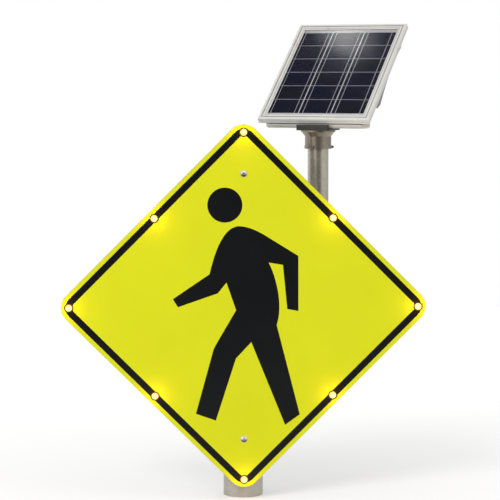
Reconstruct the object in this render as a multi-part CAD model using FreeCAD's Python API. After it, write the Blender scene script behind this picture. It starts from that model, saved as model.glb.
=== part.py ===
"""Pedestrian crossing sign: a lit diamond plate on a round post, with a solar head on a side mast.

Frame: millimetres, +Z up, +X to the right of someone facing the sign, -Y towards them.
The origin is the centre of the post's open lower end.
"""
import FreeCAD, Part
import math
import os

V = FreeCAD.Vector
X_AXIS = V(1, 0, 0)
Y_AXIS = V(0, 1, 0)
Z_AXIS = V(0, 0, 1)
os.makedirs("parts", exist_ok=True)

# Sign plate: a square standing on its corner
sign_side = 762.0
sign_corner_r = 47.6
sign_thick = 3.2
border_margin = 12.7
border_width = 19.05
bolt_rise = 380.0            # face bolts above and below the plate's centre
tip_above_post_end = 38.0    # the post shows this much below the plate's lower tip

# Main post and what clamps the plate to it
post_od = 114.3
post_wall = 6.0
post_above_centre = 440.0
cap_skirt = 24.0
cap_wall = 2.5
cap_rise = 8.0               # above the post's end, with a chamfered rim
cap_chamfer = 4.0
cap_fit = 0.1
plate_standoff = 29.6        # from the post's front to the plate's back
bracket_half_w = 38.0
bracket_half_h = 18.0
bracket_pad = 4.0
bracket_corner_r = 6.0
bracket_rib = 4.0
bracket_rib_x = (17.0, 32.3)
bracket_shell_half_w = 46.0
saddle_shell = 3.0
strap_thick = 0.9
strap_height = 19.0
strap_gap = 0.05
worm_half_w = 15.0           # housing of the strap's worm screw
worm_half_h = 8.0
worm_depth = 9.0
worm_screw_r = 3.0
worm_screw_af = 8.0
worm_head_h = 5.0
face_bolt_d = 10.0
face_bolt_tail = 18.0        # past the plate's back
face_head_d = 18.0
face_head_h = 5.0
face_socket_af = 6.0
face_socket_t = 3.0
face_nut_af = 16.0
face_nut_h = 8.0
face_washer_d = 23.0
face_washer_t = 1.6

# Lights let into the plate's border
led_barrel_r = 8.0
led_bezel_r = 12.5
led_bezel_h = 3.0
led_lens_r = 9.5
led_lens_h = 4.5
led_nut_af = 21.0
led_nut_h = 9.0
hole_gap = 0.3
bolt_head = 1.3              # height of a bolt's head and of its nut, in shank radii
bolt_nut = 1.6

# Wiring channel behind the border
channel_inset = 3.2
channel_width = 38.0
channel_depth = 22.0
channel_wall = 1.5
channel_inner_r = 6.0
lead_x = -60.0               # where the lead leaves the channel, along the plate's upper right side

# Cable gland
gland_thread_r = 6.0
gland_thread_len = 6.0
gland_af = 20.0
gland_hex_h = 4.5
gland_nut_r = 9.0
gland_len = 13.5
gland_bore_r = 3.0
gland_gap = 0.05

# Side mast and the two struts that hold it
mast_od = 60.3
mast_wall = 3.6
mast_x = 218.4
mast_below_centre = 110.0
plug_lip = 4.0               # end cap in the mast's foot
plug_depth = 16.0
plug_web = 1.0
plug_fit = 0.1
strut_height = 60.0
strut_depth = 30.0
strut_wall = 3.0
strut_levels = (180.0, -60.0)     # above the plate's centre
strut_overhang = 4.0
clamp_thick = 4.0
clamp_height = 40.0
clamp_ear = 24.0
clamp_gap = 0.05
clamp_bolt_r = 4.0
clamp_bolt_af = 13.0

# Head collar that slips over the mast
collar_bottom = 446.0        # above the plate's centre, as are the next three
mast_top = 488.0
collar_top = 499.0
collar_r = 38.0
collar_bead_r = 39.6
collar_bead_h = 9.0
collar_flare_r = 48.0        # under the flange, narrowing to the collar
collar_flare_h = 13.0
collar_flange_r = 50.0
collar_flange_t = 4.5
collar_gap = 0.4
wire_hole_r = 14.0
set_screw_r = 3.0
set_screw_gap = 0.3
set_screw_af = 7.0
set_head_h = 5.0
thread_gap = 0.05
saddle_len = 101.0
saddle_width = 93.0
saddle_thick = 6.0
saddle_lip = 10.0
saddle_lip_t = 3.0
saddle_corner_r = 5.0
saddle_bolt_x = 20.0
saddle_bolt_y = 37.0
saddle_bolt_r = 3.0
saddle_bolt_af = 10.0
saddle_bolt_depth = 8.0      # into the collar's flange

# Solar panel: outer size, tilt and turn, and where its low front edge lies
panel_width = 341.6
panel_length = 430.0
panel_depth = 17.0
rail_width = 23.0
panel_tilt = 40.1
panel_aim = 25.5             # degrees the head is turned towards the sign's left
panel_low_y = -46.1          # in front of the mast's axis
rail_bead_w = 8.0            # across the frame's face: bead, groove, flat, fine groove and lip
rail_groove_w = 3.4
rail_groove_t = 2.0
rail_flat_w = 6.0
rail_fine_w = 2.2
rail_fine_t = 1.6
rail_side_groove = 0.8
rail_wall = 1.6
slot_depth = 10.0
slot_top = 2.8
glass_t = 3.2
cell_sheet_t = 1.2
glass_gap = 0.1

# Battery trough under the panel's lower edge
trough_half_len = 154.0
trough_front = -30.0
trough_back = 24.0
trough_wall = 2.5
trough_end_r = 12.0
trough_bottom_r = 7.0
rib_offset = 20.0            # each cell lies on two ribs, this far either side of its middle
rib_half_t = 2.0
stop_half_t = 1.0
gasket_t = 2.0
cradle_t = 3.0
cradle_inset = 2.0           # inside the frame's sides
cradle_corner_r = 8.0
cradle_high_end = 135.0      # up the slope from the panel's middle
cradle_window_low = -118.0
cradle_window_r = 14.0
cradle_margin = 20.0
board_standoff = 4.5
board_half_len = 62.0
board_half_w = 14.0
board_foot = 2.5
board_t = 1.6
board_clear = 2.75           # between the charge board and the cells
cell_r = 13.0
cell_len = 65.0
cell_pitch = 67.5
cell_count = 4
cell_gap = 0.3
cell_bed = 1.5               # under the cells, and behind them
wire_exit_y = -9.0
grommet_r = 7.0
grommet_bore_r = 4.0
grommet_lip = 1.5

# Worked out from the sizes above
post_r = post_od / 2
plate_back_y = -post_r - plate_standoff
plate_front_y = plate_back_y - sign_thick
tip_reach = sign_side / math.sqrt(2) - sign_corner_r * (math.sqrt(2) - 1)
centre_z = tip_above_post_end + tip_reach
post_top = centre_z + post_above_centre
mast_r = mast_od / 2
mast_y = post_r - mast_r
mast_end_z = centre_z - mast_below_centre
mast_top_z = centre_z + mast_top
saddle_z = centre_z + collar_top
trough_z = saddle_z + saddle_thick
tilt = math.radians(panel_tilt)
cell_z = trough_z + trough_wall + cell_bed + cell_r
cell_y = trough_back - trough_wall - cell_bed - cell_r
panel_back = panel_low_y + math.cos(tilt) * panel_length / 2
# The panel's plane stands this far from the cells' axis, so that what hangs under it clears them
cells_to_front = cell_r + board_clear + board_t + board_standoff + cradle_t + panel_depth
panel_low_z = cell_z + (cells_to_front + math.sin(tilt) * (panel_low_y - cell_y)) / math.cos(tilt)
panel_z = panel_low_z + math.sin(tilt) * panel_length / 2
NODES = []


def save(name, shape):
    """Write one piece, or one group of like pieces, as parts/NAME.step."""
    shape = shape.removeSplitter() if len(shape.Solids) == 1 else shape
    NODES.append(name)
    shape.exportStep("parts/%s.step" % name)


def cyl(radius, height, base, axis=Z_AXIS):
    return Part.makeCylinder(radius, height, base, axis)


def ring(outer, inner, height, base, axis=Z_AXIS):
    return cyl(outer, height, base, axis).cut(cyl(inner, height, base, axis))


def block(x0, x1, y0, y1, z0, z1):
    return Part.makeBox(x1 - x0, y1 - y0, z1 - z0, V(x0, y0, z0))


def face_of(points):
    return Part.Face(Part.makePolygon(points + points[:1]))


def hexagon(across_flats, height, base, axis=Z_AXIS):
    """A hexagonal prism standing on base along axis."""
    radius = across_flats / math.sqrt(3)
    corners = [V(radius * math.cos(math.radians(60 * i)), radius * math.sin(math.radians(60 * i)), 0)
               for i in range(6)]
    prism = face_of(corners).extrude(Z_AXIS * height)
    prism.Placement = FreeCAD.Placement(base, FreeCAD.Rotation(Z_AXIS, axis))
    return prism


def nut(across_flats, height, hole_r, base, axis):
    body = hexagon(across_flats, height, base, axis)
    return body.cut(cyl(hole_r, height, base, axis))


def bolt(radius, grip, across_flats, base, axis):
    """A bolt whose head seats on base and whose nut closes on the far side of what it grips."""
    head = hexagon(across_flats, bolt_head * radius, base, -axis)
    tail = hexagon(across_flats, bolt_nut * radius, base + axis * grip, axis)
    return fused([cyl(radius, grip, base, axis), head, tail])


def revolved(points, base=V(0, 0, 0), axis=Z_AXIS):
    """Turn a closed outline of (radius, height) about its own axis, then stand it on base."""
    outline = face_of([V(r, 0, h) for r, h in points])
    solid = outline.revolve(V(0, 0, 0), Z_AXIS, 360)
    solid.Placement = FreeCAD.Placement(base, FreeCAD.Rotation(Z_AXIS, axis))
    return solid


def cable_gland(base, axis):
    """A threaded stub through the wall, a hexagon that seats on the wall and a domed nut with a hole."""
    whole = gland_thread_len + gland_len
    stub = V(0, 0, -gland_thread_len)
    body = hexagon(gland_af, gland_hex_h, V(0, 0, 0)).fuse(cyl(gland_nut_r, gland_len, V(0, 0, 0)))
    body = body.fuse(cyl(gland_thread_r, gland_thread_len, stub)).cut(cyl(gland_bore_r, whole, stub))
    body.Placement = FreeCAD.Placement(base, FreeCAD.Rotation(Z_AXIS, axis))
    return body


def fused(shapes):
    return shapes[0].multiFuse(shapes[1:]) if len(shapes) > 1 else shapes[0]


def edges_along(shape, axis, keep=None):
    """The straight edges of a shape that run along axis, narrowed by keep(midpoint)."""
    found = []
    for edge in shape.Edges:
        ends = edge.Vertexes
        if len(ends) != 2 or edge.Curve.TypeId != "Part::GeomLine":
            continue
        span = ends[1].Point - ends[0].Point
        middle = (ends[1].Point + ends[0].Point) * 0.5
        if span.cross(axis).Length < 1e-6 * span.Length and (keep is None or keep(middle)):
            found.append(edge)
    return found


def in_sign(shape):
    """From the plate's own square frame (X and Z along its sides, Y back from its front) to the post's."""
    moved = shape.copy()
    moved.rotate(V(0, 0, 0), Y_AXIS, 45)
    moved.translate(V(0, plate_front_y, centre_z))
    return moved


def in_head(shape):
    """From the head's frame (origin on the mast's axis, Y towards the panel's high end) to the post's."""
    moved = shape.copy()
    moved.rotate(V(0, 0, 0), Z_AXIS, -panel_aim)
    moved.translate(V(mast_x, mast_y, 0))
    return moved


def on_panel(shape):
    """From the panel's frame (X across, Y up the slope, Z out of the glass) to the head's."""
    moved = shape.copy()
    moved.rotate(V(0, 0, 0), X_AXIS, panel_tilt)
    moved.translate(V(0, panel_back, panel_z))
    return moved


def rounded_square(half, radius, y0, y1):
    square = block(-half, half, y0, y1, -half, half)
    return square.makeFillet(radius, edges_along(square, Y_AXIS))


# Sign plate and lights

def light_spots():
    """Centres of the eight lights in the plate's square frame: corners and mid-sides of the border."""
    line = sign_side / 2 - border_margin - border_width / 2
    arc = sign_corner_r - border_margin - border_width / 2
    corner = line - arc * (1 - 1 / math.sqrt(2))
    spots = [(corner, corner), (0, line), (-corner, corner), (-line, 0),
             (-corner, -corner), (0, -line), (corner, -corner), (line, 0)]
    return spots


def make_sign_panel():
    plate = rounded_square(sign_side / 2, sign_corner_r, 0, sign_thick)
    holes = [cyl(led_barrel_r + hole_gap, sign_thick, V(p, 0, q), Y_AXIS) for p, q in light_spots()]
    diagonal = bolt_rise / math.sqrt(2)
    for sign in (1, -1):
        # The plate's corner at the top lies on the square's (-X, +Z) diagonal
        holes.append(cyl(face_bolt_d / 2 + hole_gap, sign_thick, V(-sign * diagonal, 0, sign * diagonal), Y_AXIS))
    save("sign_panel", in_sign(plate.cut(Part.makeCompound(holes))))


def make_lights():
    """Each light is a bezelled barrel with its nut drawn up behind the plate, and a low lens in front."""
    for number, (p, q) in enumerate(light_spots(), 1):
        bezel = cyl(led_bezel_r, led_bezel_h, V(p, -led_bezel_h, q), Y_AXIS)
        barrel = cyl(led_barrel_r, sign_thick, V(p, 0, q), Y_AXIS)
        tail = hexagon(led_nut_af, led_nut_h, V(p, sign_thick, q), Y_AXIS)
        save("led_body_%d" % number, in_sign(fused([bezel, barrel, tail])))
        lens = cyl(led_lens_r, led_lens_h, V(p, -led_bezel_h, q), -Y_AXIS)
        save("led_lens_%d" % number, in_sign(lens))


def make_wire_channels():
    """A shallow hat section round the plate's back, mitred into four lengths."""
    outer_half = sign_side / 2 - channel_inset
    outer_r = sign_corner_r - channel_inset
    inner_half = outer_half - channel_width
    top = sign_thick + channel_depth
    wall = channel_wall
    shell = rounded_square(outer_half, outer_r, sign_thick, top)
    shell = shell.cut(rounded_square(inner_half, channel_inner_r, sign_thick, top))
    hollow = rounded_square(outer_half - wall, outer_r - wall, sign_thick, top - wall)
    hollow = hollow.cut(rounded_square(inner_half + wall, channel_inner_r + wall, sign_thick, top - wall))
    shell = shell.cut(hollow)
    lead_z = outer_half - channel_width / 2
    lead_hole = cyl(gland_thread_r + gland_gap, 4 * wall, V(lead_x, top - 3 * wall, lead_z), Y_AXIS)
    wedge = face_of([V(0, 0, 0), V(-sign_side, 0, sign_side), V(sign_side, 0, sign_side)])
    wedge = wedge.extrude(Y_AXIS * 2 * top)
    for number, name in enumerate(("upper_right", "lower_right", "lower_left", "upper_left")):
        quarter = wedge.copy()
        quarter.rotate(V(0, 0, 0), Y_AXIS, 90 * number)
        length = shell.common(quarter)
        if number == 0:
            length = length.cut(lead_hole)
        save("wire_channel_" + name, in_sign(length))
    save("harness_gland", in_sign(cable_gland(V(lead_x, top, lead_z), Y_AXIS)))


# Main post, plate brackets and their straps

def make_post():
    save("main_post", ring(post_r, post_r - post_wall, post_top, V(0, 0, 0)))
    inner = post_r + cap_fit
    outer = inner + cap_wall
    crown = post_top + cap_rise
    cap = revolved([(inner, post_top - cap_skirt), (outer, post_top - cap_skirt), (outer, crown - cap_chamfer),
                    (outer - cap_chamfer, crown), (0, crown), (0, post_top), (inner, post_top)])
    save("post_cap", cap)


def strap_circle():
    """Centre Y and inner radius of a strap that hugs the post's back and the bracket's shell in front."""
    return -saddle_shell / 2, post_r + saddle_shell / 2 + strap_gap


def make_sign_bracket(name, z):
    """Pad, two ribs and a saddle shell that bears on the post, slotted for the strap."""
    strap_y, strap_r = strap_circle()
    half_h = bracket_half_h
    pad = block(-bracket_half_w, bracket_half_w, plate_back_y, plate_back_y + bracket_pad, z - half_h, z + half_h)
    pad = pad.makeFillet(bracket_corner_r, edges_along(pad, Y_AXIS))
    shell = cyl(strap_r - strap_gap, 2 * half_h, V(0, strap_y, z - half_h))
    shell = shell.common(block(-bracket_shell_half_w, bracket_shell_half_w, plate_back_y, -post_r * 0.6,
                               z - half_h, z + half_h))
    pieces = [pad, shell]
    for rib_x in bracket_rib_x:
        # Each rib runs a little way into the shell, whose front is further back away from the middle
        meets = -math.sqrt(post_r ** 2 - rib_x ** 2)
        for x in (-rib_x, rib_x):
            pieces.append(block(x - bracket_rib / 2, x + bracket_rib / 2, plate_back_y + 1, meets,
                                z - half_h, z + half_h))
    bracket = fused(pieces).cut(cyl(post_r, 2 * half_h, V(0, 0, z - half_h)))
    slot_h = strap_height + 1.5
    slot = ring(strap_r + strap_thick + 0.6, strap_r - strap_gap, slot_h, V(0, strap_y, z - slot_h / 2))
    bracket = bracket.cut(slot)
    bracket = bracket.cut(cyl(face_bolt_d / 2 + hole_gap, bracket_pad, V(0, plate_back_y, z), Y_AXIS))
    save(name, bracket)


def make_band_clamp(name, z):
    """Steel strap drawn up by a worm screw in a housing at the post's back."""
    strap_y, strap_r = strap_circle()
    outer = strap_r + strap_thick
    strap = ring(outer, strap_r, strap_height, V(0, strap_y, z - strap_height / 2))
    back = strap_y + outer
    screw_y = back + worm_depth - 5.0
    housing = block(-worm_half_w, worm_half_w, back - 3, back + worm_depth, z - worm_half_h, z + worm_half_h)
    housing = housing.makeFillet(3.5, edges_along(housing, X_AXIS, lambda m: m.y > back))
    clamp = strap.fuse(housing).cut(cyl(strap_r, strap_height, V(0, strap_y, z - strap_height / 2)))
    seat = V(-worm_half_w, screw_y, z)
    clamp = clamp.cut(cyl(worm_screw_r + thread_gap, 2 * worm_half_w, seat, X_AXIS))
    save(name, clamp)
    head = hexagon(worm_screw_af, worm_head_h, V(worm_half_w + 0.3, screw_y, z), X_AXIS)
    return cyl(worm_screw_r, 2 * worm_half_w + 0.3, seat, X_AXIS).fuse(head)


def make_plate_fixings():
    screws = []
    bolts = []
    washers = []
    nuts = []
    radius = face_bolt_d / 2
    head_y = plate_front_y - face_washer_t
    sphere_r = ((face_head_d / 2) ** 2 + face_head_h ** 2) / (2 * face_head_h)
    for name, z in (("upper", centre_z + bolt_rise), ("lower", centre_z - bolt_rise)):
        make_sign_bracket("sign_bracket_" + name, z)
        screws.append(make_band_clamp("band_clamp_" + name, z))
        dome = Part.makeSphere(sphere_r, V(0, head_y - face_head_h + sphere_r, z))
        dome = dome.common(cyl(face_head_d / 2, face_head_h, V(0, head_y - face_head_h, z), Y_AXIS))
        socket = hexagon(face_socket_af, face_socket_t, V(0, head_y - face_head_h, z), Y_AXIS)
        shank = cyl(radius, face_washer_t + sign_thick + face_bolt_tail, V(0, head_y, z), Y_AXIS)
        bolts.append(dome.fuse(shank).cut(socket))
        washers.append(ring(face_washer_d / 2, radius + 0.2, face_washer_t, V(0, head_y, z), Y_AXIS))
        nut_y = plate_back_y + bracket_pad
        nuts.append(nut(face_nut_af, face_nut_h, radius + 0.02, V(0, nut_y, z), Y_AXIS))
    save("clamp_screws", Part.makeCompound(screws))
    save("face_bolts", Part.makeCompound(bolts))
    save("face_washers", Part.makeCompound(washers))
    save("face_bolt_nuts", Part.makeCompound(nuts))


# Side mast, struts and strap clamps

def pipe_clamp(pipe_r, x, y, z):
    """A flat strap bent round the front of a pipe, its two ears lying on the strut's web."""
    inner = pipe_r + clamp_gap
    outer = inner + clamp_thick
    web_y = post_r
    half_h = clamp_height / 2
    hoop = ring(outer, inner, clamp_height, V(x, y, z - half_h))
    hoop = hoop.common(block(x - outer, x + outer, y - outer, y, z - half_h, z + half_h))
    pieces = [hoop]
    reach = outer + clamp_ear
    for side in (-1, 1):
        low, high = sorted((x + side * inner, x + side * outer))
        pieces.append(block(low, high, y, web_y, z - half_h, z + half_h))
        low, high = sorted((x + side * inner, x + side * reach))
        pieces.append(block(low, high, web_y - clamp_thick, web_y, z - half_h, z + half_h))
    strap = fused(pieces).cut(cyl(pipe_r, clamp_height, V(x, y, z - half_h)))
    return strap, outer + clamp_ear * 0.55


def make_struts():
    """Folded channels against the backs of both pipes, with a strap clamp and two bolts on each pipe."""
    web_y = post_r
    web_back = web_y + strut_wall
    pipes = ((0, 0, post_r), (mast_x, mast_y, mast_r))
    left = -post_r - clamp_thick - clamp_ear - strut_overhang
    right = mast_x + mast_r + clamp_thick + clamp_ear + strut_overhang
    bolts = []
    half = strut_height / 2
    for name, level in zip(("upper", "lower"), strut_levels):
        z = centre_z + level
        outer = block(left, right, web_y, web_y + strut_depth, z - half, z + half)
        outer = outer.makeFillet(strut_wall * 1.5, edges_along(outer, X_AXIS, lambda m: m.y < web_y + 1))
        inner = block(left, right, web_back, web_y + strut_depth, z - half + strut_wall, z + half - strut_wall)
        strut = outer.cut(inner)
        for kind, (x, y, pipe_r) in zip(("post_clamp", "mast_clamp"), pipes):
            clamp, bolt_x = pipe_clamp(pipe_r, x, y, z)
            for side in (-1, 1):
                seat = V(x + side * bolt_x, web_y - clamp_thick, z)
                hole = cyl(clamp_bolt_r + hole_gap, clamp_thick + strut_wall, seat, Y_AXIS)
                clamp = clamp.cut(hole)
                strut = strut.cut(hole)
                bolts.append(bolt(clamp_bolt_r, clamp_thick + strut_wall, clamp_bolt_af, seat, Y_AXIS))
            save("%s_%s" % (kind, name), clamp)
        save("strut_" + name, strut)
    save("clamp_bolts", Part.makeCompound(bolts))


def make_mast():
    bore = mast_r - mast_wall
    tube = ring(mast_r, bore, mast_top_z - mast_end_z, V(mast_x, mast_y, mast_end_z))
    save("mast", tube)
    hole = gland_thread_r + gland_gap
    skirt = bore - plug_fit
    plug = revolved([(hole, -plug_lip), (mast_r, -plug_lip), (mast_r, 0), (skirt, 0), (skirt, plug_depth),
                     (skirt - plug_lip, plug_depth), (skirt - plug_lip, plug_web), (hole, plug_web)],
                    V(mast_x, mast_y, mast_end_z))
    save("mast_end_cap", plug)
    save("mast_gland", cable_gland(V(mast_x, mast_y, mast_end_z - plug_lip), -Z_AXIS))


# Head: collar, saddle and trough

def make_collar():
    """Casting that slips over the mast, rests on its end and carries the head on a round flange."""
    bottom = centre_z + collar_bottom
    top = saddle_z
    flange = top - collar_flange_t
    bore = mast_r + collar_gap
    body = revolved([(bore, bottom), (collar_bead_r, bottom), (collar_bead_r, bottom + collar_bead_h),
                     (collar_r, bottom + collar_bead_h), (collar_r, flange - collar_flare_h),
                     (collar_flare_r, flange), (collar_flange_r, flange), (collar_flange_r, top),
                     (wire_hole_r, top), (wire_hole_r, mast_top_z), (bore, mast_top_z)])
    screw_z = bottom + collar_bead_h / 2
    screws = []
    for turn in (30, 150, 270):
        angle = math.radians(turn)
        out = V(math.cos(angle), math.sin(angle), 0)
        tip = mast_r + set_screw_gap
        seat = out * tip + V(0, 0, screw_z)
        body = body.cut(cyl(set_screw_r + thread_gap, collar_bead_r - tip + 1, seat, out))
        grip = collar_bead_r + 0.3 - tip
        head = hexagon(set_screw_af, set_head_h, seat + out * grip, out)
        screws.append(cyl(set_screw_r, grip, seat, out).fuse(head))
    for x, y in saddle_bolt_places():
        body = body.cut(cyl(saddle_bolt_r + thread_gap, saddle_bolt_depth, V(x, y, top), -Z_AXIS))
    save("slip_fitter", in_head(body))
    save("set_screws", in_head(Part.makeCompound(screws)))


def saddle_bolt_places():
    return [(x, y) for x in (-saddle_bolt_x, saddle_bolt_x) for y in (-saddle_bolt_y, saddle_bolt_y)]


def make_saddle():
    """Shallow channel bolted down on the collar's flange, for the trough to sit in."""
    half_l = saddle_len / 2
    half_w = saddle_width / 2
    lip_top = trough_z + saddle_lip
    channel = block(-half_l, half_l, -half_w, half_w, saddle_z, lip_top)
    channel = channel.makeFillet(saddle_corner_r, edges_along(channel, Z_AXIS))
    channel = channel.cut(block(-half_l, half_l, -half_w + saddle_lip_t, half_w - saddle_lip_t, trough_z, lip_top))
    channel = channel.cut(cyl(wire_hole_r, saddle_thick, V(0, 0, saddle_z)))
    bolts = []
    for x, y in saddle_bolt_places():
        channel = channel.cut(cyl(saddle_bolt_r + hole_gap, saddle_thick, V(x, y, saddle_z)))
        seat = V(x, y, trough_z)
        shank = cyl(saddle_bolt_r, saddle_thick + saddle_bolt_depth, seat, -Z_AXIS)
        bolts.append(shank.fuse(hexagon(saddle_bolt_af, bolt_head * saddle_bolt_r, seat)))
    save("head_saddle", in_head(channel))
    save("saddle_bolts", in_head(Part.makeCompound(bolts)))


def under_panel(depth):
    """A large block that fills everything in front of a plane this far behind the panel's front."""
    return on_panel(block(-600, 600, -600, 600, -depth, 600))


def open_trough(inset, round_bottom=False):
    """The trough's block, taken in by inset on every side but its top."""
    top = trough_z + 90
    body = block(-trough_half_len + inset, trough_half_len - inset, trough_front + inset, trough_back - inset,
                 trough_z + inset, top)
    body = body.makeFillet(trough_end_r - inset, edges_along(body, Z_AXIS))
    if not round_bottom:
        return body
    low = [e for e in body.Edges if e.BoundBox.ZMax < trough_z + inset + 0.01]
    return body.makeFillet(trough_bottom_r, low)


def cell_places():
    return [(i - (cell_count - 1) / 2) * cell_pitch for i in range(cell_count)]


def make_trough():
    """Battery trough: level floor, sloped mouth under the panel, ribs that cradle a row of cells."""
    lid_depth = panel_depth + cradle_t
    outer = open_trough(0, True)
    inner = open_trough(trough_wall)
    trough = outer.cut(inner)
    ribs = []
    for x in cell_places():
        for middle in (x - rib_offset, x + rib_offset):
            ribs.append(block(middle - rib_half_t, middle + rib_half_t, trough_front + 1, trough_back - 1,
                              trough_z + 1, cell_z))
    for i in range(cell_count + 1):
        x = (i - cell_count / 2) * cell_pitch
        ribs.append(block(x - stop_half_t, x + stop_half_t, 0, trough_back - 1, trough_z + 1, cell_z + 4))
    for x in cell_places():
        # One trough per cell leaves the thin stops between them whole
        bed_len = cell_pitch - 2 * stop_half_t
        bed = cyl(cell_r + cell_gap, bed_len, V(x - bed_len / 2, cell_y, cell_z), X_AXIS)
        ribs = [rib.cut(bed) for rib in ribs]
    ribs = [rib.common(outer) for rib in ribs]
    trough = trough.multiFuse(ribs).cut(under_panel(lid_depth + gasket_t))
    trough = trough.cut(cyl(grommet_r, trough_wall, V(0, wire_exit_y, trough_z)))
    save("battery_trough", in_head(trough))
    rim = open_trough(0.2).cut(open_trough(trough_wall + gasket_t))
    layer = on_panel(block(-600, 600, -600, 600, -lid_depth - gasket_t, -lid_depth))
    save("trough_gasket", in_head(rim.common(layer)))
    cells = []
    for x in cell_places():
        cells.append(cyl(cell_r, cell_len, V(x - cell_len / 2, cell_y, cell_z), X_AXIS))
    save("battery_cells", in_head(Part.makeCompound(cells)))
    waist = grommet_r - 0.1
    flange = grommet_r + grommet_lip
    height = trough_wall + grommet_lip
    grommet = revolved([(grommet_bore_r, 0), (waist, 0), (waist, trough_wall), (flange, trough_wall),
                        (flange, height), (grommet_bore_r, height)], V(0, wire_exit_y, trough_z))
    save("wire_grommet", in_head(grommet))


# Solar panel

def rail(length):
    """One extruded frame rail along X, outer edge at Y = 0, front at Z = 0, both ends mitred."""
    back = -panel_depth
    floor = -slot_top - glass_gap - glass_t - cell_sheet_t - 0.3
    inner = rail_width - slot_depth
    slope = 0.6
    groove = rail_bead_w + rail_groove_w
    fine = groove + rail_flat_w
    lip = fine + rail_fine_w
    outline = [(0, back), (0, -12.5), (rail_side_groove, -12.0), (rail_side_groove, -9.0), (0, -8.5), (0, -1.2),
               (1.2, 0), (rail_bead_w, 0), (rail_bead_w + slope, -rail_groove_t), (groove - slope, -rail_groove_t),
               (groove, -0.3), (fine, -0.3), (fine + slope, -rail_fine_t), (lip - slope, -rail_fine_t),
               (lip, -0.8), (rail_width - 1.0, -0.8), (rail_width, -1.8), (rail_width, -slot_top),
               (inner, -slot_top), (inner, floor), (rail_width - 2.0, floor), (rail_width - 2.0, floor - 1.5),
               (inner - 1.0, floor - 1.5), (inner - 1.0, back + rail_wall), (rail_width + 1.0, back + rail_wall),
               (rail_width + 1.0, back)]
    section = face_of([V(-length / 2, s, n) for s, n in outline])
    roof = -slot_top - rail_wall
    left = rail_side_groove + rail_wall
    right = inner - 1.0 - rail_wall
    chamber = face_of([V(-length / 2, s, n) for s, n in
                       ((left, back + rail_wall), (right, back + rail_wall), (right, roof), (left, roof))])
    bar = section.cut(chamber).extrude(X_AXIS * length)
    half = length / 2
    for side in (-1, 1):
        reach = rail_width + 3
        mitre = face_of([V(side * half, 0, 0), V(side * (half + 1), 0, 0), V(side * (half + 1), reach, 0),
                         V(side * (half - reach), reach, 0)])
        mitre.translate(V(0, 0, -panel_depth - 1))
        bar = bar.cut(mitre.extrude(Z_AXIS * (panel_depth + 2)))
    return bar


def make_panel_frame():
    sides = (("bottom", panel_width, 0, panel_length / 2), ("right", panel_length, 90, panel_width / 2),
             ("top", panel_width, 180, panel_length / 2), ("left", panel_length, 270, panel_width / 2))
    for name, length, turn, reach in sides:
        bar = rail(length)
        bar.translate(V(0, -reach, 0))
        bar.rotate(V(0, 0, 0), Z_AXIS, turn)
        save("frame_rail_" + name, in_head(on_panel(bar)))
    edge = rail_width - slot_depth + 0.4
    half_w = panel_width / 2 - edge
    half_l = panel_length / 2 - edge
    top = -slot_top - glass_gap
    glass = block(-half_w, half_w, -half_l, half_l, top - glass_t, top)
    sheet = block(-half_w, half_w, -half_l, half_l, top - glass_t - cell_sheet_t, top - glass_t)
    save("panel_glass", in_head(on_panel(glass)))
    save("cell_sheet", in_head(on_panel(sheet)))


def make_cradle():
    """Folded sheet behind the frame: it closes the trough below and stiffens the panel with arched flanges."""
    half = panel_width / 2 - cradle_inset
    top = -panel_depth
    floor = top - cradle_t
    low_end = -panel_length / 2 + 3.0
    sheet = block(-half, half, low_end, cradle_high_end, floor, top)
    sheet = sheet.makeFillet(cradle_corner_r, edges_along(sheet, Z_AXIS))
    for side in (-1, 1):
        near, far = sorted((side * cradle_window_r, side * (half - cradle_margin)))
        window = block(near, far, cradle_window_low, cradle_high_end - cradle_margin, floor, top)
        sheet = sheet.cut(window.makeFillet(cradle_window_r, edges_along(window, Z_AXIS)))
    foot = V(0, -109, -37.0)
    crown = V(0, 10, floor + 0.2)
    tip = V(0, 137, -24.5)
    heel = V(0, -134, -29.0)
    outline = [Part.Arc(foot, crown, tip).toShape(), Part.makeLine(tip, V(0, 134, top)),
               Part.makeLine(V(0, 134, top), V(0, -136, top)), Part.makeLine(V(0, -136, top), heel),
               Part.makeLine(heel, foot)]
    flange = Part.Face(Part.Wire(outline)).extrude(X_AXIS * cradle_t)
    pieces = [sheet]
    for x in (-half, half - cradle_t):
        side = flange.copy()
        side.translate(V(x, 0, 0))
        pieces.append(side)
    cradle = fused(pieces)
    save("panel_cradle", in_head(on_panel(cradle)))
    under = floor - board_standoff
    # The board's middle lies over the trough's middle
    board_y = ((trough_front + trough_back) / 2 - panel_back + under * math.sin(tilt)) / math.cos(tilt)
    board = [block(-board_half_len, board_half_len, board_y - board_half_w, board_y + board_half_w,
                   under - board_t, under)]
    foot_x = board_half_len - 2.4 * board_foot
    foot_y = board_half_w - 2 * board_foot
    for x in (-foot_x, foot_x):
        for y in (board_y - foot_y, board_y + foot_y):
            board.append(block(x - board_foot, x + board_foot, y - board_foot, y + board_foot, under, floor))
    for x, y, w, d, h in ((-30, 2, 14, 12, 3.0), (0, -4, 10, 10, 2.0), (28, 1, 18, 9, 3.8)):
        board.append(block(x - w / 2, x + w / 2, board_y + y - d / 2, board_y + y + d / 2, under, under + h))
    save("controller_board", in_head(on_panel(fused(board))))


make_sign_panel()
make_lights()
make_wire_channels()
make_post()
make_plate_fixings()
make_struts()
make_mast()
make_collar()
make_saddle()
make_trough()
make_panel_frame()
make_cradle()
print("%d nodes" % len(NODES))
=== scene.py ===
import math
import bmesh
import bpy
from mathutils import Matrix, Vector


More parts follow.
